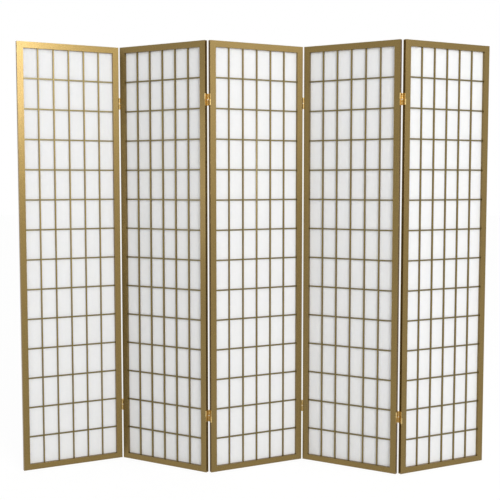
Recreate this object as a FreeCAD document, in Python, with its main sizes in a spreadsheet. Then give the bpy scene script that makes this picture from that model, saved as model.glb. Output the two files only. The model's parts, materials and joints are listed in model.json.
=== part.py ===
import FreeCAD, Part
import Sketcher
import os

# A five panel shoji screen, standing in a zigzag on its bottom edges.
# Each panel is a wooden frame with a lattice of slats and a sheet of paper behind the lattice.
# Neighbouring panels are joined by two brass hinges that can fold either way.
# X runs along the screen, -Y faces the viewer and +Z is up.
# The origin is on the floor, below the middle of the middle panel.

os.makedirs("parts", exist_ok=True)
doc = FreeCAD.newDocument("shoji_screen")

# Driving dimensions in millimetres, and one angle in degrees
SIZES = (
    ("panel_width", 432.5),
    ("panel_height", 1784.0),
    ("panel_thickness", 17.0),
    ("fold_gap", 2.4),
    ("fold_angle", 56.5),
    ("stile_width", 26.0),
    ("top_rail_height", 26.0),
    ("bottom_rail_height", 24.0),
    ("edge_round", 0.5),
    ("tenon_length", 12.0),
    ("tenon_thickness", 6.0),
    ("tenon_shoulder", 4.0),
    ("tenon_end_gap", 0.5),
    ("slat_width", 5.5),
    ("slat_depth", 7.0),
    ("slat_setback", 0.5),
    ("slat_tongue", 3.0),
    ("bottom_row_short", 6.0),
    ("rebate_width", 5.0),
    ("paper_thickness", 0.4),
    ("paper_clearance", 0.5),
    ("hinge_inset", 238.0),
    ("hinge_slit", 2.0),
    ("axis_standoff", 3.0),
    ("knuckle_height", 7.75),
    ("knuckle_spacing_gap", 0.3),
    ("knuckle_radius", 2.9),
    ("web_reach", 5.0),
    ("leaf_thickness", 1.6),
    ("leaf_margin", 0.4),
    ("leaf_let_in", 1.5),
    ("leaf_seat_fit", 0.1),
    ("link_thickness", 1.5),
    ("link_clearance", 0.4),
    ("pin_radius", 1.25),
    ("pin_fit", 0.02),
    ("eye_clearance", 0.05),
    ("screw_spacing", 15.0),
    ("screw_length", 14.0),
    ("screw_radius", 1.2),
    ("screw_tip_length", 3.0),
    ("screw_tip_radius", 0.3),
    ("screw_head_radius", 2.5),
    ("screw_head_depth", 1.3),
    ("screw_clearance", 0.05),
    ("screw_slot_width", 0.6),
    ("screw_slot_depth", 0.5),
    ("overrun", 1.0),
)

PANELS = 5
PANE_COLUMNS = 6
PANE_ROWS = 14
SCREWS_PER_LEAF = 3
KNUCKLES_PER_HALF = 3

# How near two places in millimetres count as the same place
SAME_PLACE = 0.001

sheet = doc.addObject("Spreadsheet::Sheet", "dims")
for row, (alias, number) in enumerate(SIZES, start=1):
    sheet.set(f"A{row}", alias)
    sheet.set(f"B{row}", str(number))
    sheet.setAlias(f"B{row}", alias)
doc.recompute()

# Sizes that follow from the sheet, written as expressions
OPENING_WIDTH = "(dims.panel_width - 2 * dims.stile_width)"
OPENING_HEIGHT = "(dims.panel_height - dims.top_rail_height - dims.bottom_rail_height)"
PANE_WIDTH = f"(({OPENING_WIDTH} - {PANE_COLUMNS - 1} * dims.slat_width) / {PANE_COLUMNS})"
PANE_HEIGHT = (f"(({OPENING_HEIGHT} + dims.bottom_row_short - {PANE_ROWS - 1} * dims.slat_width)"
               f" / {PANE_ROWS})")
FRONT = "(-dims.panel_thickness / 2)"
SLAT_FRONT = "(-dims.slat_depth / 2)"
SLAT_BACK = "(dims.slat_depth / 2)"
TOP_RAIL_BOTTOM = "(dims.panel_height - dims.top_rail_height)"
REBATE_DEPTH = "(dims.panel_thickness / 2 - dims.slat_depth / 2)"
LOWEST_SLAT = (f"({TOP_RAIL_BOTTOM} - {PANE_ROWS - 1} * ({PANE_HEIGHT} + dims.slat_width))")
AXIS_OFFSET = "(dims.panel_thickness / 2 + dims.axis_standoff)"
HINGE_HALF = f"(dims.hinge_slit / 2 + {KNUCKLES_PER_HALF} * dims.knuckle_height)"
KNUCKLE = "(dims.knuckle_height - dims.knuckle_spacing_gap)"
LEAF_FACE = "(-dims.fold_gap / 2 - dims.leaf_let_in)"
LEAF_INNER = f"({LEAF_FACE} + dims.leaf_thickness)"
LEAF_HALF_WIDTH = "(dims.panel_thickness / 2 - dims.leaf_margin)"
LINK_HALF_WIDTH = f"({AXIS_OFFSET} - dims.knuckle_radius - dims.link_clearance)"
UPPER_START = "(dims.hinge_slit / 2 + dims.knuckle_spacing_gap / 2)"
LOWER_START = f"(-{HINGE_HALF} + dims.knuckle_spacing_gap / 2)"
BEYOND_RIGHT = "(dims.panel_width + dims.fold_gap / 2)"
BEYOND_LEFT = "(-dims.fold_gap / 2)"
HIGH_HINGE = "(dims.panel_height - dims.hinge_inset)"
SCREW_HOLE_RADIUS = "(dims.screw_radius + dims.screw_clearance)"
LOW_HINGE = "(dims.hinge_inset)"


def value(expression):
    """The number that an expression has now."""
    result = sheet.evalExpression(expression)
    return float(getattr(result, "Value", result))


def plane(body, role):
    """An origin plane or axis of a body."""
    return [item for item in body.Origin.OriginFeatures if item.Role == role][0]


def place(item, x="0", y="0", z="0", prefix="Placement"):
    """Binds the place of a feature, link or sketch to three expressions."""
    for letter, expression in zip("xyz", (x, y, z)):
        if expression != "0":
            item.setExpression(f"{prefix}.Base.{letter}", expression)


def new_body(name):
    """An empty body whose sketches and features are in its own frame."""
    return doc.addObject("PartDesign::Body", name)


def rectangle(body, name, width, depth, x, y, z):
    """A sketch on the body's floor plane: one rectangle with a corner at the given place."""
    sketch = body.newObject("Sketcher::SketchObject", name)
    sketch.AttachmentSupport = (plane(body, "XY_Plane"), [""])
    sketch.MapMode = "FlatFace"
    place(sketch, x, y, z, prefix="AttachmentOffset")
    wide, deep = value(width), value(depth)
    corners = [FreeCAD.Vector(0, 0, 0), FreeCAD.Vector(wide, 0, 0),
               FreeCAD.Vector(wide, deep, 0), FreeCAD.Vector(0, deep, 0)]
    for start, end in zip(corners, corners[1:] + corners[:1]):
        sketch.addGeometry(Part.LineSegment(start, end), False)
    for line in range(len(corners)):
        following = (line + 1) % len(corners)
        sketch.addConstraint(Sketcher.Constraint("Coincident", line, 2, following, 1))
    for line, kind in enumerate(("Horizontal", "Vertical", "Horizontal", "Vertical")):
        sketch.addConstraint(Sketcher.Constraint(kind, line))
    sketch.addConstraint(Sketcher.Constraint("Coincident", 0, 1, -1, 1))
    across = sketch.addConstraint(Sketcher.Constraint("DistanceX", 0, 1, 0, 2, wide))
    along = sketch.addConstraint(Sketcher.Constraint("DistanceY", 1, 1, 1, 2, deep))
    sketch.renameConstraint(across, "width")
    sketch.renameConstraint(along, "depth")
    sketch.setExpression("Constraints.width", width)
    sketch.setExpression("Constraints.depth", depth)
    return sketch


def padded_block(body, name, corner, size):
    """A rectangle padded upwards into a block."""
    sketch = rectangle(body, name + "_outline", size[0], size[1], *corner)
    pad = body.newObject("PartDesign::Pad", name)
    pad.Profile = sketch
    pad.setExpression("Length", size[2])
    return pad


def box(body, kind, name, corner, size):
    """An added or cut block; kind is Additive or Subtractive."""
    block = body.newObject(f"PartDesign::{kind}Box", name)
    for side, expression in zip(("Length", "Width", "Height"), size):
        block.setExpression(side, expression)
    place(block, *corner)
    return block


def cylinder(body, kind, name, foot, radius, height, turn=None):
    """An added or cut cylinder that rises along +Z, or along where turn brings +Z."""
    rod = body.newObject(f"PartDesign::{kind}Cylinder", name)
    rod.setExpression("Radius", radius)
    rod.setExpression("Height", height)
    if turn:
        rod.Placement = FreeCAD.Placement(FreeCAD.Vector(), turn)
    place(rod, *foot)
    return rod


def cone(body, kind, name, foot, foot_radius, top_radius, height, turn=None):
    """An added or cut cone, set like a cylinder."""
    shape = body.newObject(f"PartDesign::{kind}Cone", name)
    shape.setExpression("Radius1", foot_radius)
    shape.setExpression("Radius2", top_radius)
    shape.setExpression("Height", height)
    if turn:
        shape.Placement = FreeCAD.Placement(FreeCAD.Vector(), turn)
    place(shape, *foot)
    return shape


def repeat(body, name, original, axis, spacing, count):
    """Copies one feature along an axis of the body."""
    pattern = body.newObject("PartDesign::LinearPattern", name)
    pattern.Originals = [original]
    pattern.Direction = (plane(body, axis), [""])
    pattern.Mode = "Spacing"
    pattern.setExpression("Offset", spacing)
    pattern.Occurrences = count
    body.Tip = pattern
    return pattern


def round_long_edges(body, feature, axis, places):
    """Rounds the edges that run along an axis through the given places of the other two."""
    doc.recompute()
    others = [letter for letter in "xyz" if letter != axis]
    names = []
    for number, edge in enumerate(feature.Shape.Edges, start=1):
        ends = [vertex.Point for vertex in edge.Vertexes]
        middle = edge.CenterOfMass
        runs = abs(getattr(ends[0], axis) - getattr(ends[-1], axis)) > SAME_PLACE
        near = any(abs(getattr(middle, others[0]) - first) < SAME_PLACE
                   and abs(getattr(middle, others[1]) - second) < SAME_PLACE
                   for first, second in places)
        if runs and near:
            names.append(f"Edge{number}")
    fillet = body.newObject("PartDesign::Fillet", "soft_edges")
    fillet.Base = (feature, names)
    fillet.setExpression("Radius", "dims.edge_round")
    body.Tip = fillet
    return fillet


ALONG_X = FreeCAD.Rotation(FreeCAD.Vector(0, 1, 0), 90)


def stile(name, right, hinged):
    """An upright of the frame, with a rebate for the paper, mortises for the rails, sockets
    for the level slats and, on a hinged side, seats and pilot holes for the hinge leaves."""
    body = new_body(name)
    outer = "dims.panel_width" if right else "0"
    start = "(dims.panel_width - dims.stile_width)" if right else "0"
    inner = "(dims.panel_width - dims.stile_width)" if right else "dims.stile_width"

    def from_inner(length):
        """Where a cut of this length into the stile begins along X."""
        return inner if right else f"({inner} - {length})"

    blank = padded_block(body, "blank", (start, FRONT, "0"),
                         ("dims.stile_width", "dims.panel_thickness", "dims.panel_height"))
    half = value("dims.panel_thickness / 2")
    side = value(outer)
    round_long_edges(body, blank, "z", ((side, -half), (side, half)))
    box(body, "Subtractive", "paper_rebate",
        (from_inner("dims.rebate_width"), SLAT_BACK, "(dims.bottom_rail_height - dims.rebate_width)"),
        ("dims.rebate_width", REBATE_DEPTH, f"({OPENING_HEIGHT} + 2 * dims.rebate_width)"))
    mortise = "(dims.tenon_length + dims.tenon_end_gap)"
    for end, foot, height in (
            ("lower", "dims.tenon_shoulder", "dims.bottom_rail_height"),
            ("upper", f"({TOP_RAIL_BOTTOM} + dims.tenon_shoulder)", "dims.top_rail_height")):
        box(body, "Subtractive", end + "_mortise",
            (from_inner(mortise), "(-dims.tenon_thickness / 2)", foot),
            (mortise, "dims.tenon_thickness", f"({height} - 2 * dims.tenon_shoulder)"))
    socket = box(body, "Subtractive", "slat_socket",
                 (from_inner("dims.slat_tongue"), f"({SLAT_FRONT} + dims.slat_setback)", LOWEST_SLAT),
                 ("dims.slat_tongue", "(dims.slat_depth - dims.slat_setback)", "dims.slat_width"))
    repeat(body, "slat_sockets", socket, "Z_Axis",
           f"({PANE_HEIGHT} + dims.slat_width)", PANE_ROWS - 1)
    if hinged:
        depth = ("(dims.screw_length - dims.leaf_thickness + dims.leaf_let_in"
                 " + dims.screw_clearance)")
        seat = f"({outer} - dims.leaf_let_in)" if right else "(-dims.overrun)"
        foot = f"({outer} - {depth})" if right else "0"
        first = f"(dims.screw_spacing * {(SCREWS_PER_LEAF - 1) / 2})"
        for level, height in (("low", LOW_HINGE), ("high", HIGH_HINGE)):
            box(body, "Subtractive", level + "_leaf_seat",
                (seat, f"({FRONT} - dims.overrun)",
                 f"({height} - {HINGE_HALF} - dims.leaf_seat_fit)"),
                ("(dims.leaf_let_in + dims.overrun)",
                 "(dims.panel_thickness + 2 * dims.overrun)",
                 f"(2 * {HINGE_HALF} + 2 * dims.leaf_seat_fit)"))
            hole = cylinder(body, "Subtractive", level + "_pilot_hole",
                            (foot, "0", f"({height} - {first})"), SCREW_HOLE_RADIUS, depth, ALONG_X)
            repeat(body, level + "_pilot_holes", hole, "Z_Axis", "dims.screw_spacing",
                   SCREWS_PER_LEAF)
    return body


def rail(name, foot, height, inner_edge, rebate_foot, socket_foot, round_level):
    """A cross piece of the frame, with tenons, a rebate for the paper and slat sockets."""
    body = new_body(name)
    blank = padded_block(body, "blank", ("dims.stile_width", FRONT, foot),
                         (OPENING_WIDTH, "dims.panel_thickness", height))
    half = value("dims.panel_thickness / 2")
    level = value(round_level)
    round_long_edges(body, blank, "x", ((-half, level), (half, level), (-half, value(inner_edge))))
    box(body, "Additive", "tenons",
        ("(dims.stile_width - dims.tenon_length)", "(-dims.tenon_thickness / 2)",
         f"({foot} + dims.tenon_shoulder)"),
        (f"({OPENING_WIDTH} + 2 * dims.tenon_length)", "dims.tenon_thickness",
         f"({height} - 2 * dims.tenon_shoulder)"))
    box(body, "Subtractive", "paper_rebate", ("dims.stile_width", SLAT_BACK, rebate_foot),
        (OPENING_WIDTH, REBATE_DEPTH, "dims.rebate_width"))
    socket = box(body, "Subtractive", "slat_socket",
                 (f"(dims.stile_width + {PANE_WIDTH})", SLAT_FRONT, socket_foot),
                 ("dims.slat_width", "dims.slat_depth", "dims.slat_tongue"))
    repeat(body, "slat_sockets", socket, "X_Axis",
           f"({PANE_WIDTH} + dims.slat_width)", PANE_COLUMNS - 1)
    return body


def top_rail():
    return rail("top_rail", TOP_RAIL_BOTTOM, "dims.top_rail_height", TOP_RAIL_BOTTOM,
                TOP_RAIL_BOTTOM, TOP_RAIL_BOTTOM, "dims.panel_height")


def bottom_rail():
    return rail("bottom_rail", "0", "dims.bottom_rail_height", "dims.bottom_rail_height",
                "(dims.bottom_rail_height - dims.rebate_width)",
                "(dims.bottom_rail_height - dims.slat_tongue)", "0")


def upright_slats():
    """The upright slats, halved from behind where the level slats cross them."""
    body = new_body("upright_slats")
    slat = padded_block(body, "slat",
                        (f"(dims.stile_width + {PANE_WIDTH})", SLAT_FRONT,
                         "(dims.bottom_rail_height - dims.slat_tongue)"),
                        ("dims.slat_width", "dims.slat_depth",
                         f"({OPENING_HEIGHT} + 2 * dims.slat_tongue)"))
    repeat(body, "slats", slat, "X_Axis", f"({PANE_WIDTH} + dims.slat_width)",
           PANE_COLUMNS - 1)
    notch = box(body, "Subtractive", "notch", ("dims.stile_width", "0", LOWEST_SLAT),
                (OPENING_WIDTH, "(dims.slat_depth / 2)", "dims.slat_width"))
    repeat(body, "notches", notch, "Z_Axis", f"({PANE_HEIGHT} + dims.slat_width)",
           PANE_ROWS - 1)
    return body


def level_slats():
    """The level slats, set a little back and halved from the front for the upright slats."""
    body = new_body("level_slats")
    slat = padded_block(body, "slat",
                        ("(dims.stile_width - dims.slat_tongue)",
                         f"({SLAT_FRONT} + dims.slat_setback)", LOWEST_SLAT),
                        (f"({OPENING_WIDTH} + 2 * dims.slat_tongue)",
                         "(dims.slat_depth - dims.slat_setback)", "dims.slat_width"))
    repeat(body, "slats", slat, "Z_Axis", f"({PANE_HEIGHT} + dims.slat_width)",
           PANE_ROWS - 1)
    notch = box(body, "Subtractive", "notch",
                (f"(dims.stile_width + {PANE_WIDTH})", SLAT_FRONT, "dims.bottom_rail_height"),
                ("dims.slat_width", "(dims.slat_depth / 2)", OPENING_HEIGHT))
    repeat(body, "notches", notch, "X_Axis", f"({PANE_WIDTH} + dims.slat_width)",
           PANE_COLUMNS - 1)
    return body


def paper():
    """One sheet of paper, glued to the back of the lattice and to the rebates."""
    sheet_of_paper = doc.addObject("Part::Box", "paper_sheet")
    margin = "(dims.rebate_width - dims.paper_clearance)"
    sheet_of_paper.setExpression("Length", f"{OPENING_WIDTH} + 2 * {margin}")
    sheet_of_paper.setExpression("Width", "dims.paper_thickness")
    sheet_of_paper.setExpression("Height", f"{OPENING_HEIGHT} + 2 * {margin}")
    place(sheet_of_paper, f"dims.stile_width - {margin}", SLAT_BACK,
          f"dims.bottom_rail_height - {margin}")
    return sheet_of_paper


def hinge_leaf():
    """A hinge leaf for the left side of a fold, let into the stile. Its upper half is knuckled
    on the front axis and its lower half on the back axis. Turned half round it is the right
    leaf."""
    body = new_body("hinge_leaf")
    box(body, "Additive", "plate", (LEAF_FACE, f"(-{LEAF_HALF_WIDTH})", f"(-{HINGE_HALF})"),
        ("dims.leaf_thickness", f"(2 * {LEAF_HALF_WIDTH})", f"(2 * {HINGE_HALF})"))
    for half, axis, web, foot in (
            ("upper", f"(-{AXIS_OFFSET})", f"(-{AXIS_OFFSET})", UPPER_START),
            ("lower", AXIS_OFFSET, f"({AXIS_OFFSET} - dims.web_reach)", LOWER_START)):
        arm = box(body, "Additive", half + "_web", (LEAF_FACE, web, foot),
                  ("dims.leaf_thickness", "dims.web_reach", KNUCKLE))
        repeat(body, half + "_webs", arm, "Z_Axis", "(2 * dims.knuckle_height)", 2)
        barrel = cylinder(body, "Additive", half + "_knuckle", ("0", axis, foot),
                          "dims.knuckle_radius", KNUCKLE)
        repeat(body, half + "_knuckles", barrel, "Z_Axis", "(2 * dims.knuckle_height)", 2)
        cylinder(body, "Subtractive", half + "_bore", ("0", axis, f"({foot} - dims.overrun)"),
                 "(dims.pin_radius + dims.pin_fit)",
                 f"({KNUCKLES_PER_HALF} * dims.knuckle_height + 2 * dims.overrun)")
    first = f"(-dims.screw_spacing * {(SCREWS_PER_LEAF - 1) / 2})"
    hole = cylinder(body, "Subtractive", "screw_hole",
                    (f"({LEAF_FACE} - dims.overrun)", "0", first), SCREW_HOLE_RADIUS,
                    "(dims.leaf_thickness + 2 * dims.overrun)", ALONG_X)
    repeat(body, "screw_holes", hole, "Z_Axis", "dims.screw_spacing", SCREWS_PER_LEAF)
    sink = cone(body, "Subtractive", "countersink",
                (f"({LEAF_INNER} - dims.screw_head_depth)", "0", first), SCREW_HOLE_RADIUS,
                "(dims.screw_head_radius + dims.screw_clearance)", "dims.screw_head_depth", ALONG_X)
    repeat(body, "countersinks", sink, "Z_Axis", "dims.screw_spacing", SCREWS_PER_LEAF)
    return body


def hinge_link():
    """The plate that joins a front axis to a back axis across the fold, for the upper half."""
    body = new_body("hinge_link")
    middle = f"({UPPER_START} + dims.knuckle_height)"
    half = "dims.link_thickness / 2"
    box(body, "Additive", "plate", (f"(-{half})", f"(-{LINK_HALF_WIDTH})", UPPER_START),
        ("dims.link_thickness", f"(2 * {LINK_HALF_WIDTH})",
         f"({KNUCKLES_PER_HALF} * dims.knuckle_height - dims.knuckle_spacing_gap)"))
    box(body, "Additive", "arms", (f"(-{half})", f"(-{AXIS_OFFSET})", middle),
        ("dims.link_thickness", f"(2 * {AXIS_OFFSET})", KNUCKLE))
    for side, axis in (("front", f"(-{AXIS_OFFSET})"), ("back", AXIS_OFFSET)):
        cylinder(body, "Additive", side + "_eye", ("0", axis, middle),
                 "dims.knuckle_radius", KNUCKLE)
    for side, axis in (("front", f"(-{AXIS_OFFSET})"), ("back", AXIS_OFFSET)):
        cylinder(body, "Subtractive", side + "_bore", ("0", axis, f"({middle} - dims.overrun)"),
                 "(dims.pin_radius + dims.eye_clearance)",
                 f"({KNUCKLE} + 2 * dims.overrun)")
    return body


def hinge_pin():
    """A pin through the three knuckles of one half of a hinge."""
    pin = doc.addObject("Part::Cylinder", "hinge_pin")
    pin.setExpression("Radius", "dims.pin_radius")
    pin.setExpression("Height", f"{KNUCKLES_PER_HALF} * dims.knuckle_height"
                                " - dims.knuckle_spacing_gap")
    return pin


def wood_screw():
    """A countersunk slotted screw that points along -X with the top of its head at X 0."""
    body = new_body("wood_screw")
    away = FreeCAD.Rotation(FreeCAD.Vector(0, 1, 0), -90)
    shank = "(dims.screw_length - dims.screw_head_depth - dims.screw_tip_length)"
    cone(body, "Additive", "head", ("0", "0", "0"), "dims.screw_head_radius",
         "dims.screw_radius", "dims.screw_head_depth", away)
    cylinder(body, "Additive", "shank", ("(-dims.screw_head_depth)", "0", "0"),
             "dims.screw_radius", shank, away)
    cone(body, "Additive", "tip", (f"(-dims.screw_head_depth - {shank})", "0", "0"),
         "dims.screw_radius", "dims.screw_tip_radius", "dims.screw_tip_length", away)
    box(body, "Subtractive", "slot",
        ("(-dims.screw_slot_depth)", "(-dims.screw_head_radius)", "(-dims.screw_slot_width / 2)"),
        ("dims.overrun", "(2 * dims.screw_head_radius)", "dims.screw_slot_width"))
    return body


def copy_of(part, name, x, y, z, turned=False, flipped=False):
    """A link to a part at a place in the panel's frame. Turned is half round the vertical,
    and flipped is half round X, which turns an upper half into a lower one."""
    link = doc.addObject("App::Link", name)
    link.LinkedObject = part
    rotation = FreeCAD.Rotation()
    if turned:
        rotation = FreeCAD.Rotation(FreeCAD.Vector(0, 0, 1), 180)
    if flipped:
        rotation = FreeCAD.Rotation(FreeCAD.Vector(1, 0, 0), 180)
    link.Placement = FreeCAD.Placement(FreeCAD.Vector(), rotation)
    place(link, x, y, z)
    return link


def hinge_side(right):
    """The leaves, screws and pins that one side of a panel carries, at both hinges."""
    side = "right" if right else "left"
    across = BEYOND_RIGHT if right else BEYOND_LEFT
    head = f"({across} + {LEAF_INNER})" if right else f"({across} - {LEAF_INNER})"
    front, back = f"(-{AXIS_OFFSET})", AXIS_OFFSET
    leaves, screws, pins = [], [], []
    for level, height in (("low", LOW_HINGE), ("high", HIGH_HINGE)):
        mark = f"{side}_{level}"
        leaves.append(copy_of(leaf_part, f"leaf_{mark}", across, "0", height, turned=not right))
        for number in range(SCREWS_PER_LEAF):
            step = number - (SCREWS_PER_LEAF - 1) / 2
            screws.append(copy_of(screw_part, f"screw_{mark}_{number + 1}", head, "0",
                                  f"({height} + {step} * dims.screw_spacing)", turned=not right))
        pins.append(copy_of(pin_part, f"upper_pin_{mark}", across, front if right else back,
                            f"({height} + {UPPER_START})"))
        pins.append(copy_of(pin_part, f"lower_pin_{mark}", across, back if right else front,
                            f"({height} + {LOWER_START})"))
    return leaves, screws, pins


def link_pair(right, flipped):
    """The links of both hinges on one side of a panel; flipped ones are the lower links."""
    across = BEYOND_RIGHT if right else BEYOND_LEFT
    kind = "lower_link" if flipped else "upper_link"
    side = "right" if right else "left"
    return [copy_of(link_part, f"{kind}_{side}_{level}", across, "0", height, flipped=flipped)
            for level, height in (("low", LOW_HINGE), ("high", HIGH_HINGE))]


def axis_side(fold):
    """The side of the panels that a fold turns about: -1 is the front and 1 is the back.
    Fold 1 is between panels 1 and 2. The folds turn about the front and the back in turn."""
    return -1 if fold % 2 == 1 else 1


def panel_turn(panel):
    """The turn of a panel about +Z in degrees: odd panels one way and even ones the other."""
    half_fold = value("dims.fold_angle / 2")
    return half_fold if panel % 2 == 1 else -half_fold


def fold_point(fold, panel):
    """A fold's axis in the frame of one of its two panels, seen from above."""
    across = BEYOND_RIGHT if panel == fold else BEYOND_LEFT
    return FreeCAD.Vector(value(across), axis_side(fold) * value(AXIS_OFFSET), 0)


def panel_places():
    """Each panel's placement: the middle panel is centred on the origin, and each of the
    others is set so that its hinge axis meets its neighbour's."""
    upright = FreeCAD.Vector(0, 0, 1)
    middle = (PANELS + 1) // 2
    turn = FreeCAD.Rotation(upright, panel_turn(middle))
    corner = turn.multVec(FreeCAD.Vector(-value("dims.panel_width / 2"), 0, 0))
    places = {middle: FreeCAD.Placement(corner, turn)}
    for panel in range(middle - 1, 0, -1):
        fold = panel
        meeting = places[panel + 1].multVec(fold_point(fold, panel + 1))
        turn = FreeCAD.Rotation(upright, panel_turn(panel))
        places[panel] = FreeCAD.Placement(meeting - turn.multVec(fold_point(fold, panel)), turn)
    for panel in range(middle + 1, PANELS + 1):
        fold = panel - 1
        meeting = places[panel - 1].multVec(fold_point(fold, panel - 1))
        turn = FreeCAD.Rotation(upright, panel_turn(panel))
        places[panel] = FreeCAD.Placement(meeting - turn.multVec(fold_point(fold, panel)), turn)
    return places


def node(name, members, placement):
    """A named piece, or group of like pieces, of the screen at its place."""
    group = doc.addObject("Part::Compound", name)
    group.Label = name
    group.Links = members
    group.Placement = placement
    nodes.append(group)
    return group


frame_parts = {
    "left_stile": {True: stile("left_stile", right=False, hinged=True),
                   False: stile("left_end_stile", right=False, hinged=False)},
    "right_stile": {True: stile("right_stile", right=True, hinged=True),
                    False: stile("right_end_stile", right=True, hinged=False)},
}
top_rail_part = top_rail()
bottom_rail_part = bottom_rail()
upright_part = upright_slats()
level_part = level_slats()
paper_part = paper()
leaf_part = hinge_leaf()
link_part = hinge_link()
pin_part = hinge_pin()
screw_part = wood_screw()
doc.recompute()

places = panel_places()
sides = {"left": hinge_side(right=False), "right": hinge_side(right=True)}
upper_links = {"left": link_pair(False, flipped=False), "right": link_pair(True, flipped=False)}
lower_links = {"left": link_pair(False, flipped=True), "right": link_pair(True, flipped=True)}

nodes = []
for panel in range(1, PANELS + 1):
    name = f"panel_{panel}"
    place_of_panel = places[panel]
    has_left, has_right = panel > 1, panel < PANELS
    node(name + "_left_stile", [frame_parts["left_stile"][has_left]], place_of_panel)
    node(name + "_right_stile", [frame_parts["right_stile"][has_right]], place_of_panel)
    node(name + "_top_rail", [top_rail_part], place_of_panel)
    node(name + "_bottom_rail", [bottom_rail_part], place_of_panel)
    node(name + "_upright_slats", [upright_part], place_of_panel)
    node(name + "_level_slats", [level_part], place_of_panel)
    node(name + "_paper", [paper_part], place_of_panel)
    carried = [sides[side] for side, there in (("left", has_left), ("right", has_right)) if there]
    for kind, pieces in zip(("leaves", "screws", "pins"), zip(*carried)):
        node(f"{name}_hinge_{kind}", sum(pieces, []), place_of_panel)

# A link stays with the panel whose own pins don't turn in it as the fold moves.
for fold in range(1, PANELS):
    front_fold = axis_side(fold) < 0
    upper_panel, upper_side = (fold + 1, "left") if front_fold else (fold, "right")
    lower_panel, lower_side = (fold, "right") if front_fold else (fold + 1, "left")
    node(f"fold_{fold}_upper_links", upper_links[upper_side], places[upper_panel])
    node(f"fold_{fold}_lower_links", lower_links[lower_side], places[lower_panel])

doc.recompute()

for item in doc.Objects:
    if "Invalid" in item.State or "Error" in item.State:
        raise RuntimeError(f"{item.Label} did not recompute: {item.State}")
for item in nodes:
    if item.Shape.isNull() or not item.Shape.isValid():
        raise RuntimeError(f"{item.Label} has no valid shape")

for item in nodes:
    item.Shape.exportStep(f"parts/{item.Label}.step")

for fold in range(1, PANELS):
    axis = places[fold].multVec(fold_point(fold, fold))
    print(f"fold {fold} axis at {axis.x:.4f} {axis.y:.4f}")
whole = FreeCAD.BoundBox()
for item in nodes:
    whole.add(item.Shape.BoundBox)
print(f"{len(nodes)} nodes, {sum(len(item.Shape.Solids) for item in nodes)} solids")
print(f"box {whole.XLength:.1f} x {whole.YLength:.1f} x {whole.ZLength:.1f},"
      f" centre {whole.Center.x:.3f} {whole.Center.y:.3f}")
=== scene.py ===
import json
import math
import random

import bpy
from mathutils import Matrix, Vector

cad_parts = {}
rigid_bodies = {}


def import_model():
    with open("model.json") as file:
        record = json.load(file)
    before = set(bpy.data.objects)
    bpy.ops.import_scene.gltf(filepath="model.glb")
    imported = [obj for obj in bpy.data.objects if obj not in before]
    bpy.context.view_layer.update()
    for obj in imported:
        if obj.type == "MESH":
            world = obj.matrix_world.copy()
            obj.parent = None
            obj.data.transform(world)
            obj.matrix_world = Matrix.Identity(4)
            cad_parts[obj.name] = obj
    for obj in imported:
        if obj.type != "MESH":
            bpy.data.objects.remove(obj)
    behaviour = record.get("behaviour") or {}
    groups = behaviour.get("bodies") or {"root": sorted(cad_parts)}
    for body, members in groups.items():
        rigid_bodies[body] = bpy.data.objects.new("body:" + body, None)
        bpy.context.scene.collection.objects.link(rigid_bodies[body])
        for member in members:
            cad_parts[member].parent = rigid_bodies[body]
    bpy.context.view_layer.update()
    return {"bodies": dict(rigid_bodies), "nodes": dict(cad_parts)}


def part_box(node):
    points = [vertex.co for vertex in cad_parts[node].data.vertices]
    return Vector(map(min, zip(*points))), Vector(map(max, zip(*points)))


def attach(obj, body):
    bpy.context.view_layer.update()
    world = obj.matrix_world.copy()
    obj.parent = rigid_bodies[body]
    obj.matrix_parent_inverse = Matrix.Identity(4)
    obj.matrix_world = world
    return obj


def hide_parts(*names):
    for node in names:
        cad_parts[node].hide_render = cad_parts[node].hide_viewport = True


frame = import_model()

MM = 0.001

# A colour Mix node's own numbers for its share and two colours, and for its result
MIX_INPUTS = (0, 6, 7)
MIX_RESULT = 2

# Camera, fitted to the outline of the panels, in metres and degrees
CAMERA_PLACE = (0.0804, -3.8643, 1.21)
CAMERA_TILT_DOWN = 4.212
CAMERA_TURN_LEFT = 1.608
CAMERA_LENS = 66.11
CAMERA_SENSOR = 36.0
LEVEL_TILT = 90.0

# Lamps. Directions are degrees to the right of straight ahead and above the floor
LAMP_AIM = (0.0, 0.0, 1.0)
KEY = {"name": "key_softbox", "right": 25.5, "up": 17.2, "distance": 8.0, "size": (2.7, 2.95),
       "power": 275.0}
SIDE = {"name": "side_softbox", "right": 54.0, "up": 14.0, "distance": 8.0, "size": (2.75, 3.2),
        "power": 27.0}
RIM = {"name": "rim_softbox", "right": -63.5, "up": 3.4, "distance": 4.2, "size": (0.4, 1.2),
       "power": 3.3}

# Backdrop and floor. What the camera sees of them is near white, what lights the screen is less
WHITE = (1.0, 1.0, 1.0, 1.0)
SKY_STRENGTH = 0.598
SKY_SEEN_STRENGTH = 1.0
FLOOR_SIZE = 60.0
FLOOR_COLOR = (0.89, 0.89, 0.88, 1.0)
FLOOR_ROUGHNESS = 0.9
FLOOR_GLOW = 1.055
FLOOR_GLOW_SHARE = 0.86

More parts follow.
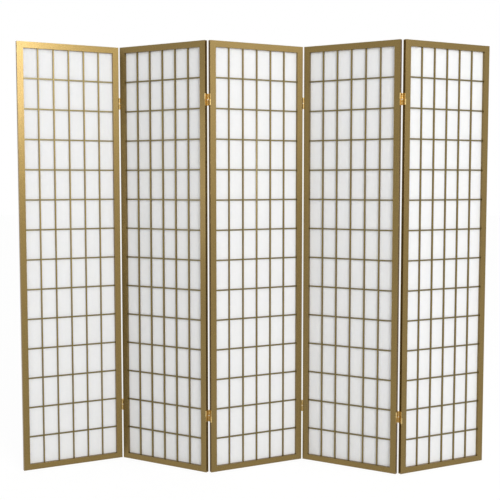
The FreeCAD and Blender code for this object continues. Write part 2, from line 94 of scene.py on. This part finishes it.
# Gold paint. A finish has its two shades and its roughness from the wood to the pores
FRAME_FINISH = {"shades": ((0.218, 0.143, 0.032), (0.142, 0.088, 0.017)),
                "roughness": (0.255, 0.285)}
# The upright slats' shades are the frame's gold painted darker, as painted shade for slats set back from
# the frame and catching less highlight
UPRIGHT_SLAT_SHADED_FINISH = {"shades": ((0.192, 0.137, 0.032), (0.126, 0.088, 0.019)),
                       "roughness": (0.345, 0.375)}
# The level slats' shades are painted darker and greyer than the uprights', as painted shade for level
# slats set back behind the uprights
LEVEL_SLAT_SHADED_FINISH = {"shades": ((0.160, 0.124, 0.038), (0.106, 0.080, 0.023)),
                     "roughness": (0.345, 0.375)}
PAINT_SHADER = {"Metallic": 0.88, "Specular IOR Level": 0.4, "Specular Tint": (0.45, 0.34, 0.16, 1.0),
                "Coat Weight": 0.75, "Coat Roughness": 0.22}
EVEN = (1.0, 1.0, 1.0)
GRAIN_UPRIGHT = (1.0, 1.0, 0.014)
GRAIN_LEVEL = (0.014, 1.0, 1.0)
RINGS = {"scale": 260.0, "detail": 3.0, "roughness": 0.55, "distortion": 0.6}
RINGS_TONE = {"low": 0.35, "high": 0.7, "top": 0.22}
RINGS_RELIEF = {"distance": 0.10 * MM, "strength": 0.25}
PORES = {"scale": 1500.0, "detail": 4.0, "roughness": 0.65}
PORES_TONE = {"low": 0.55, "high": 0.75, "top": 0.2}
PORES_SPREAD = {"low": 0.4, "high": 0.75}
PORES_RELIEF = {"distance": 0.04 * MM, "strength": 0.14}
MOTTLE = {"scale": 14.0, "detail": 3.0}
MOTTLE_TONE = {"low": 0.3, "high": 0.7, "top": 0.2}
MOTTLE_ROUGHNESS = {"low": 0.3, "high": 0.7, "bottom": -0.005, "top": 0.008}
PEEL = {"scale": 2600.0, "detail": 1.0}
PEEL_RELIEF = {"distance": 0.012 * MM, "strength": 0.08}

# Paint of each panel: its name, the way its grain runs, its finish and the pieces that have it
PAINTED = (("gold_upright", GRAIN_UPRIGHT, FRAME_FINISH, ("left_stile", "right_stile")),
           ("gold_level", GRAIN_LEVEL, FRAME_FINISH, ("top_rail", "bottom_rail")),
           # The upright slats' paint has painted shade in its darker shades
           ("lattice_upright", GRAIN_UPRIGHT, UPRIGHT_SLAT_SHADED_FINISH, ("upright_slats",)),
           # The level slats' paint has painted shade in its darker, greyer shades
           ("lattice_level", GRAIN_LEVEL, LEVEL_SLAT_SHADED_FINISH, ("level_slats",)))

# Paper. Its fibres run where a noise crosses its middle, and show in patches
PAPER = (0.838, 0.840, 0.840)
PAPER_CLOUD = (0.808, 0.810, 0.810)
PAPER_STREAK = (0.815, 0.818, 0.822)
PAPER_FIBRE = (0.872, 0.870, 0.866)
PAPER_SHADER = {"Roughness": 0.9, "Specular IOR Level": 0.25, "Subsurface Weight": 0.5,
                "Subsurface Radius": (1.0, 0.95, 0.85), "Subsurface Scale": 1.2 * MM}
CLOUDS = {"scale": 70.0, "detail": 5.0, "roughness": 0.6}
CLOUDS_TONE = {"low": 0.35, "high": 0.7, "top": 0.55}
STREAK_STRETCH = (1.0, 1.0, 0.03)
STREAKS = {"scale": 260.0, "roughness": 0.6}
STREAKS_TONE = {"low": 0.45, "high": 0.7, "top": 0.8}
FIBRES = ({"scale": 55.0, "distortion": 1.2, "width": 0.006, "gate": 0.50},
          {"scale": 120.0, "distortion": 0.8, "width": 0.009, "gate": 0.53},
          {"scale": 30.0, "distortion": 2.0, "width": 0.004, "gate": 0.48})
FIBRE_ROUGHNESS = 0.45
FIBRE_MIDDLE = 0.5
FIBRE_SHARE = 0.4
FIBRE_RELIEF = {"distance": 0.06 * MM, "strength": 0.5}
PATCH_SCALE_SHARE = 0.4
PATCH_DETAIL = 1.0
PATCH_EDGE = 0.06
TOOTH = {"scale": 1800.0}
TOOTH_RELIEF = {"distance": 0.03 * MM, "strength": 0.3}

# Brass, with fine rolling lines and a little dulling
BRASS = (0.62, 0.455, 0.19)
BRASS_DULL = (0.38, 0.275, 0.11)
HINGE_ROUGHNESS = (0.22, 0.3)
SCREW_ROUGHNESS = (0.2, 0.28)
LINE_STRETCH = (1.0, 1.0, 0.05)
LINES = {"scale": 5200.0, "roughness": 0.6}
LINES_SPREAD = {"low": 0.3, "high": 0.7}
LINES_RELIEF = {"distance": 0.01 * MM, "strength": 0.35}
DULLING = {"scale": 160.0, "detail": 4.0, "roughness": 0.6}
DULLING_TONE = {"low": 0.45, "high": 0.8, "top": 0.55}
DULLING_ROUGHNESS = {"low": 0.45, "high": 0.8, "top": 0.18}

# Edges that the wood and metal are eased by
WOOD_EASE = 0.35 * MM
METAL_EASE = 0.18 * MM
WELD_REACH = 0.01 * MM
EASE_ANGLE = 35.0
EASE_SEGMENTS = 2

# Shape of the paper sheets
PAPER_SLACK = (0.12 * MM, 0.42 * MM)
PANE_STEPS = 6
SLAT_JOIN = 20 * MM
PLAN_DIGITS = 5
SEED = 7


class Surface:
    """The nodes of one material."""

    def __init__(self, name):
        self.material = bpy.data.materials.new(name)
        self.material.use_nodes = True
        tree = self.material.node_tree
        self.nodes, self.links = tree.nodes, tree.links
        self.shader = self.nodes["Principled BSDF"]

    def feed(self, socket, value):
        """Links another socket to a socket, or gives it a value."""
        if isinstance(value, bpy.types.NodeSocket):
            self.links.new(value, socket)
        else:
            socket.default_value = value

    def add(self, kind, inputs=None, **settings):
        """A node, with its settings, and inputs that are values or other sockets."""
        node = self.nodes.new("ShaderNode" + kind)
        for setting, value in settings.items():
            setattr(node, setting, value)
        for socket, value in (inputs or {}).items():
            self.feed(node.inputs[socket], value)
        return node

    def places(self, turn, stretch):
        """Places on the piece at rest, turned to lie along its panel and then stretched."""
        source = self.add("TexCoord").outputs["Object"]
        turned = self.add("Mapping", {"Vector": source, "Rotation": (0.0, 0.0, -turn)})
        return self.add("Mapping", {"Vector": turned.outputs["Vector"],
                                    "Scale": stretch}).outputs["Vector"]

    def noise(self, places, scale, detail=2.0, roughness=0.5, distortion=0.0):
        return self.add("TexNoise", {"Vector": places, "Scale": scale, "Detail": detail,
                                     "Roughness": roughness,
                                     "Distortion": distortion}).outputs["Fac"]

    def ramp(self, value, low, high, bottom=0.0, top=1.0):
        """Spreads values from low to high over bottom to top."""
        return self.add("MapRange", {"Value": value, "From Min": low, "From Max": high,
                                     "To Min": bottom, "To Max": top}).outputs["Result"]

    def blend(self, amount, first, second):
        """Mixes two colours or colour sockets."""
        mix = self.add("Mix", data_type="RGBA")
        for number, value in zip(MIX_INPUTS, (amount, first, second)):
            self.feed(mix.inputs[number], (*value, 1.0) if isinstance(value, tuple) else value)
        return mix.outputs[MIX_RESULT]

    def math(self, kind, *values):
        """The result of a sum of the kind named, on values or sockets."""
        node = self.add("Math", operation=kind)
        for socket, value in zip(node.inputs, values):
            self.feed(socket, value)
        return node.outputs[0]

    def bump(self, height, distance, strength, under=None):
        """A relief on top of another one, or on the bare surface."""
        inputs = {"Height": height, "Distance": distance, "Strength": strength}
        if under:
            inputs["Normal"] = under
        return self.add("Bump", inputs).outputs["Normal"]

    def finish(self, sockets):
        """Feeds the shader's sockets by name, and gives the material."""
        for name, value in sockets.items():
            self.feed(self.shader.inputs[name], value)
        return self.material


def gold_paint(name, turn, grain, finish):
    """Satin gold paint over fine-grained wood, with its grain stretched along the piece; a slat finish's
    darker shades are painted shade.
    """
    surface = Surface(name)
    grain_places = surface.places(turn, grain)
    even_places = surface.places(turn, EVEN)
    rings = surface.noise(grain_places, **RINGS)
    pores = surface.noise(grain_places, **PORES)
    mottle = surface.noise(even_places, **MOTTLE)
    peel = surface.noise(even_places, **PEEL)
    tone = surface.math("ADD", surface.ramp(rings, **RINGS_TONE), surface.ramp(mottle, **MOTTLE_TONE))
    tone = surface.math("ADD", tone, surface.ramp(pores, **PORES_TONE))
    smooth, rough = finish["roughness"]
    roughness = surface.math("ADD", surface.ramp(pores, **PORES_SPREAD, bottom=smooth, top=rough),
                             surface.ramp(mottle, **MOTTLE_ROUGHNESS))
    relief = surface.bump(rings, **RINGS_RELIEF)
    relief = surface.bump(pores, **PORES_RELIEF, under=relief)
    relief = surface.bump(peel, **PEEL_RELIEF, under=relief)
    return surface.finish({**PAINT_SHADER, "Base Color": surface.blend(tone, *finish["shades"]),
                           "Roughness": roughness, "Normal": relief})


def fibre_lines(surface, places, scale, distortion, width, gate):
    """Thin lines of one size of fibre, as a socket that is 1 on a line and 0 beside it."""
    shifted = surface.add("Mapping", {"Vector": places,
                                      "Location": (scale, width, gate)}).outputs["Vector"]
    field = surface.noise(shifted, scale, roughness=FIBRE_ROUGHNESS, distortion=distortion)
    from_line = surface.math("ABSOLUTE", surface.math("SUBTRACT", field, FIBRE_MIDDLE))
    line = surface.ramp(from_line, low=0.0, high=width, bottom=1.0, top=0.0)
    patch = surface.noise(shifted, scale * PATCH_SCALE_SHARE, PATCH_DETAIL)
    return surface.math("MULTIPLY", line, surface.ramp(patch, gate, gate + PATCH_EDGE))


def shoji_paper(name, turn):
    """White paper with long tangled fibres that lets light through."""
    surface = Surface(name)
    places = surface.places(turn, EVEN)
    clouds = surface.noise(places, **CLOUDS)
    streaks = surface.noise(surface.places(turn, STREAK_STRETCH), **STREAKS)
    tooth = surface.noise(places, **TOOTH)
    fibres = fibre_lines(surface, places, **FIBRES[0])
    for kind in FIBRES[1:]:
        fibres = surface.math("MAXIMUM", fibres, fibre_lines(surface, places, **kind))
    color = surface.blend(surface.ramp(clouds, **CLOUDS_TONE), PAPER, PAPER_CLOUD)
    color = surface.blend(surface.ramp(streaks, **STREAKS_TONE), color, PAPER_STREAK)
    color = surface.blend(surface.math("MULTIPLY", fibres, FIBRE_SHARE), color, PAPER_FIBRE)
    relief = surface.bump(fibres, **FIBRE_RELIEF)
    relief = surface.bump(tooth, **TOOTH_RELIEF, under=relief)
    return surface.finish({**PAPER_SHADER, "Base Color": color, "Normal": relief})


def brass(name, roughness_range):
    """Brass that is roughest where its rolling lines and its dulling are."""
    surface = Surface(name)
    lines = surface.noise(surface.places(0.0, LINE_STRETCH), **LINES)
    dull = surface.noise(surface.places(0.0, EVEN), **DULLING)
    smooth, rough = roughness_range
    roughness = surface.math("ADD", surface.ramp(lines, **LINES_SPREAD, bottom=smooth, top=rough),
                             surface.ramp(dull, **DULLING_ROUGHNESS))
    color = surface.blend(surface.ramp(dull, **DULLING_TONE), BRASS, BRASS_DULL)
    return surface.finish({"Metallic": 1.0, "Base Color": color, "Roughness": roughness,
                           "Normal": surface.bump(lines, **LINES_RELIEF)})


def set_material(piece, material):
    """Gives a piece its only material."""
    if piece.material_slots:
        for slot in piece.material_slots:
            slot.material = material
    else:
        piece.data.materials.append(material)


def ease_edges(piece, width):
    """Joins a CAD piece's faces along their shared edges and rounds the sharp ones a little."""
    weld = piece.modifiers.new("weld", "WELD")
    weld.merge_threshold = WELD_REACH
    bevel = piece.modifiers.new("ease", "BEVEL")
    bevel.width = width
    bevel.segments = EASE_SEGMENTS
    bevel.limit_method = "ANGLE"
    bevel.angle_limit = math.radians(EASE_ANGLE)
    bevel.harden_normals = True
    bevel.miter_outer = "MITER_ARC"


def dress(piece, material, ease):
    """Gives a CAD piece its material and its eased edges."""
    set_material(piece, material)
    ease_edges(piece, ease)


def plan_corners(node):
    """A thin upright sheet's corners in plan: both of its left end, then both of its right."""
    found = sorted({(round(v.co.x, PLAN_DIGITS), round(v.co.y, PLAN_DIGITS)) for v in node.data.vertices})
    return [Vector(point) for point in (found[0], found[1], found[-2], found[-1])]


class Panel:
    """One panel's own directions, read from its paper."""

    def __init__(self, number):
        self.name = f"panel_{number}"
        self.number = number
        self.paper = self.node("paper")
        corners = plan_corners(self.paper)
        left, right = sorted(corners[:2], key=lambda p: p.y), sorted(corners[2:], key=lambda p: p.y)
        self.along = (right[0] - left[0]).normalized()
        self.back = Vector((-self.along.y, self.along.x))
        self.start = left[0]
        self.length = (right[0] - left[0]).length
        self.thickness = abs((left[1] - left[0]).dot(self.back))
        self.turn = math.atan2(self.along.y, self.along.x)
        self.low, self.high = (corner.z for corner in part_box(self.paper.name))

    def node(self, piece):
        return frame["nodes"][f"{self.name}_{piece}"]

    def distances(self, piece):
        """How far along the panel each point of a piece is."""
        return [(v.co.xy - self.start).dot(self.along) for v in self.node(piece).data.vertices]

    def heights(self, piece):
        return [v.co.z for v in self.node(piece).data.vertices]

    def place(self, along, back, up):
        spot = self.start + self.along * along + self.back * back
        return (spot.x, spot.y, up)


def edges_of(values):
    """The lowest and highest value of each slat, from the values of all slats."""
    values = sorted(values)
    runs = [[values[0]]]
    for value in values[1:]:
        if value - runs[-1][-1] < SLAT_JOIN:
            runs[-1].append(value)
        else:
            runs.append([value])
    return [(run[0], run[-1]) for run in runs]


def clear_spans(low, high, bars):
    """The open spans between bars from low to high."""
    stops = [low] + [edge for bar in bars for edge in bar] + [high]
    return list(zip(stops[::2], stops[1::2]))


def panes(panel):
    """The open spans of a panel's columns along it, and of its rows upwards."""
    columns = clear_spans(max(panel.distances("left_stile")), min(panel.distances("right_stile")),
                          edges_of(panel.distances("upright_slats")))
    rows = clear_spans(max(panel.heights("bottom_rail")), min(panel.heights("top_rail")),
                       edges_of(panel.heights("level_slats")))
    return columns, rows


def divided(low, high, spans):
    """Values from low to high that divide each span, and each gap between spans, in even steps."""
    stops = sorted({low, high, *sum(spans, ())})
    result = [stops[0]]
    for near, far in zip(stops, stops[1:]):
        result += [near + (far - near) * step / PANE_STEPS for step in range(1, PANE_STEPS + 1)]
    return result


def bulge(value, spans):
    """How far into its open span a value is, as a share of the full bulge, and the span."""
    for number, (low, high) in enumerate(spans):
        if low < value < high:
            return math.sin(math.pi * (value - low) / (high - low)), number
    return 0.0, 0


def sheet_faces(wide, tall):
    """The faces of a closed sheet whose front points come row by row, and then its back points."""
    behind = wide * tall
    faces = []
    for row in range(tall - 1):
        for column in range(wide - 1):
            first = row * wide + column
            ring = (first, first + 1, first + 1 + wide, first + wide)
            faces.append(ring)
            faces.append(tuple(behind + point for point in reversed(ring)))
    rim = ([column for column in range(wide)]
           + [row * wide + wide - 1 for row in range(1, tall)]
           + [(tall - 1) * wide + column for column in range(wide - 2, -1, -1)]
           + [row * wide for row in range(tall - 2, 0, -1)])
    for near, far in zip(rim, rim[1:] + rim[:1]):
        faces.append((far, near, behind + near, behind + far))
    return faces


def wavy_paper(panel):
    """A sheet of paper, held by the lattice and a little slack in each pane."""
    columns, rows = panes(panel)
    chance = random.Random(SEED + panel.number)
    slack = {(column, row): chance.uniform(*PAPER_SLACK)
             for column in range(len(columns)) for row in range(len(rows))}
    across = divided(0.0, panel.length, columns)
    upward = divided(panel.low, panel.high, rows)
    front, back = [], []
    for z in upward:
        for x in across:
            share_x, column = bulge(x, columns)
            share_z, row = bulge(z, rows)
            depth = slack[column, row] * share_x * share_z
            front.append(panel.place(x, depth, z))
            back.append(panel.place(x, depth + panel.thickness, z))
    mesh = bpy.data.meshes.new(f"{panel.name}_shoji_paper")
    mesh.from_pydata(front + back, [], sheet_faces(len(across), len(upward)))
    mesh.update()
    mesh.shade_smooth()
    return in_scene(bpy.data.objects.new(mesh.name, mesh))


def in_scene(thing):
    """Puts an object in the scene."""
    bpy.context.scene.collection.objects.link(thing)
    return thing


def seen_by_camera(nodes, links):
    """A socket that is 1 for rays that see the surface directly or in gloss or glass."""
    path = nodes.new("ShaderNodeLightPath")
    total = path.outputs["Is Camera Ray"]
    for kind in ("Is Glossy Ray", "Is Transmission Ray"):
        either = nodes.new("ShaderNodeMath")
        either.operation = "MAXIMUM"
        links.new(total, either.inputs[0])
        links.new(path.outputs[kind], either.inputs[1])
        total = either.outputs[0]
    return total


def make_world():
    """A white backdrop all round that lights the screen softly."""
    world = bpy.data.worlds.new("studio")
    bpy.context.scene.world = world
    world.use_nodes = True
    nodes, links = world.node_tree.nodes, world.node_tree.links
    background = nodes["Background"]
    background.inputs["Color"].default_value = WHITE
    strength = nodes.new("ShaderNodeMapRange")
    strength.inputs["To Min"].default_value = SKY_STRENGTH
    strength.inputs["To Max"].default_value = SKY_SEEN_STRENGTH
    links.new(seen_by_camera(nodes, links), strength.inputs["Value"])
    links.new(strength.outputs["Result"], background.inputs["Strength"])


def make_floor():
    """A pale floor that keeps a soft shadow."""
    half = FLOOR_SIZE / 2
    mesh = bpy.data.meshes.new("floor")
    mesh.from_pydata([(-half, -half, 0), (half, -half, 0), (half, half, 0), (-half, half, 0)], [],
                     [(0, 1, 2, 3)])
    surface = Surface("floor_white")
    surface.finish({"Base Color": FLOOR_COLOR, "Roughness": FLOOR_ROUGHNESS})
    glow = surface.add("Emission", {"Color": WHITE, "Strength": FLOOR_GLOW})
    share = surface.math("MULTIPLY", seen_by_camera(surface.nodes, surface.links), FLOOR_GLOW_SHARE)
    mix = surface.add("MixShader", {"Fac": share})
    surface.links.new(surface.shader.outputs["BSDF"], mix.inputs[1])
    surface.links.new(glow.outputs["Emission"], mix.inputs[2])
    surface.links.new(mix.outputs["Shader"], surface.nodes["Material Output"].inputs["Surface"])
    mesh.materials.append(surface.material)
    in_scene(bpy.data.objects.new("floor", mesh))


def make_lamp(spec):
    """A softbox, aimed at the middle of the screen."""
    right, up = math.radians(spec["right"]), math.radians(spec["up"])
    toward = Vector((math.sin(right) * math.cos(up), -math.cos(right) * math.cos(up), math.sin(up)))
    light = bpy.data.lights.new(spec["name"], "AREA")
    light.shape = "RECTANGLE"
    light.size, light.size_y = spec["size"]
    light.energy = spec["power"]
    lamp = in_scene(bpy.data.objects.new(spec["name"], light))
    lamp.visible_camera = False
    lamp.location = Vector(LAMP_AIM) + toward * spec["distance"]
    lamp.rotation_euler = toward.to_track_quat("Z", "Y").to_euler()


def make_camera():
    """A camera where the photo was taken from."""
    data = bpy.data.cameras.new("camera")
    data.lens, data.sensor_width = CAMERA_LENS, CAMERA_SENSOR
    camera = in_scene(bpy.data.objects.new("camera", data))
    camera.location = CAMERA_PLACE
    camera.rotation_euler = (math.radians(LEVEL_TILT - CAMERA_TILT_DOWN), 0.0,
                             math.radians(CAMERA_TURN_LEFT))
    bpy.context.scene.camera = camera


def dress_panel(panel, hinge_metal, screw_metal):
    """Gives a panel's pieces their finish and swaps its plain paper for a wavy sheet."""
    for paint_name, grain, finish, pieces in PAINTED:
        paint = gold_paint(f"{panel.name}_{paint_name}", panel.turn, grain, finish)
        for piece in pieces:
            dress(panel.node(piece), paint, WOOD_EASE)
    for piece, metal in (("hinge_leaves", hinge_metal), ("hinge_pins", hinge_metal),
                         ("hinge_screws", screw_metal)):
        dress(panel.node(piece), metal, METAL_EASE)
    sheet = wavy_paper(panel)
    set_material(sheet, shoji_paper(f"{panel.name}_paper_white", panel.turn))
    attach(sheet, panel.name)
    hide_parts(panel.paper.name)


hinge_brass = brass("hinge_brass", HINGE_ROUGHNESS)
screw_brass = brass("screw_brass", SCREW_ROUGHNESS)
for panel_number in range(1, len(frame["bodies"]) + 1):
    dress_panel(Panel(panel_number), hinge_brass, screw_brass)
for node_name, link_node in frame["nodes"].items():
    if node_name.endswith("_links"):
        dress(link_node, hinge_brass, METAL_EASE)

make_world()
make_floor()
for lamp_spec in (KEY, SIDE, RIM):
    make_lamp(lamp_spec)
make_camera()
bpy.context.scene.view_settings.view_transform = "Standard"
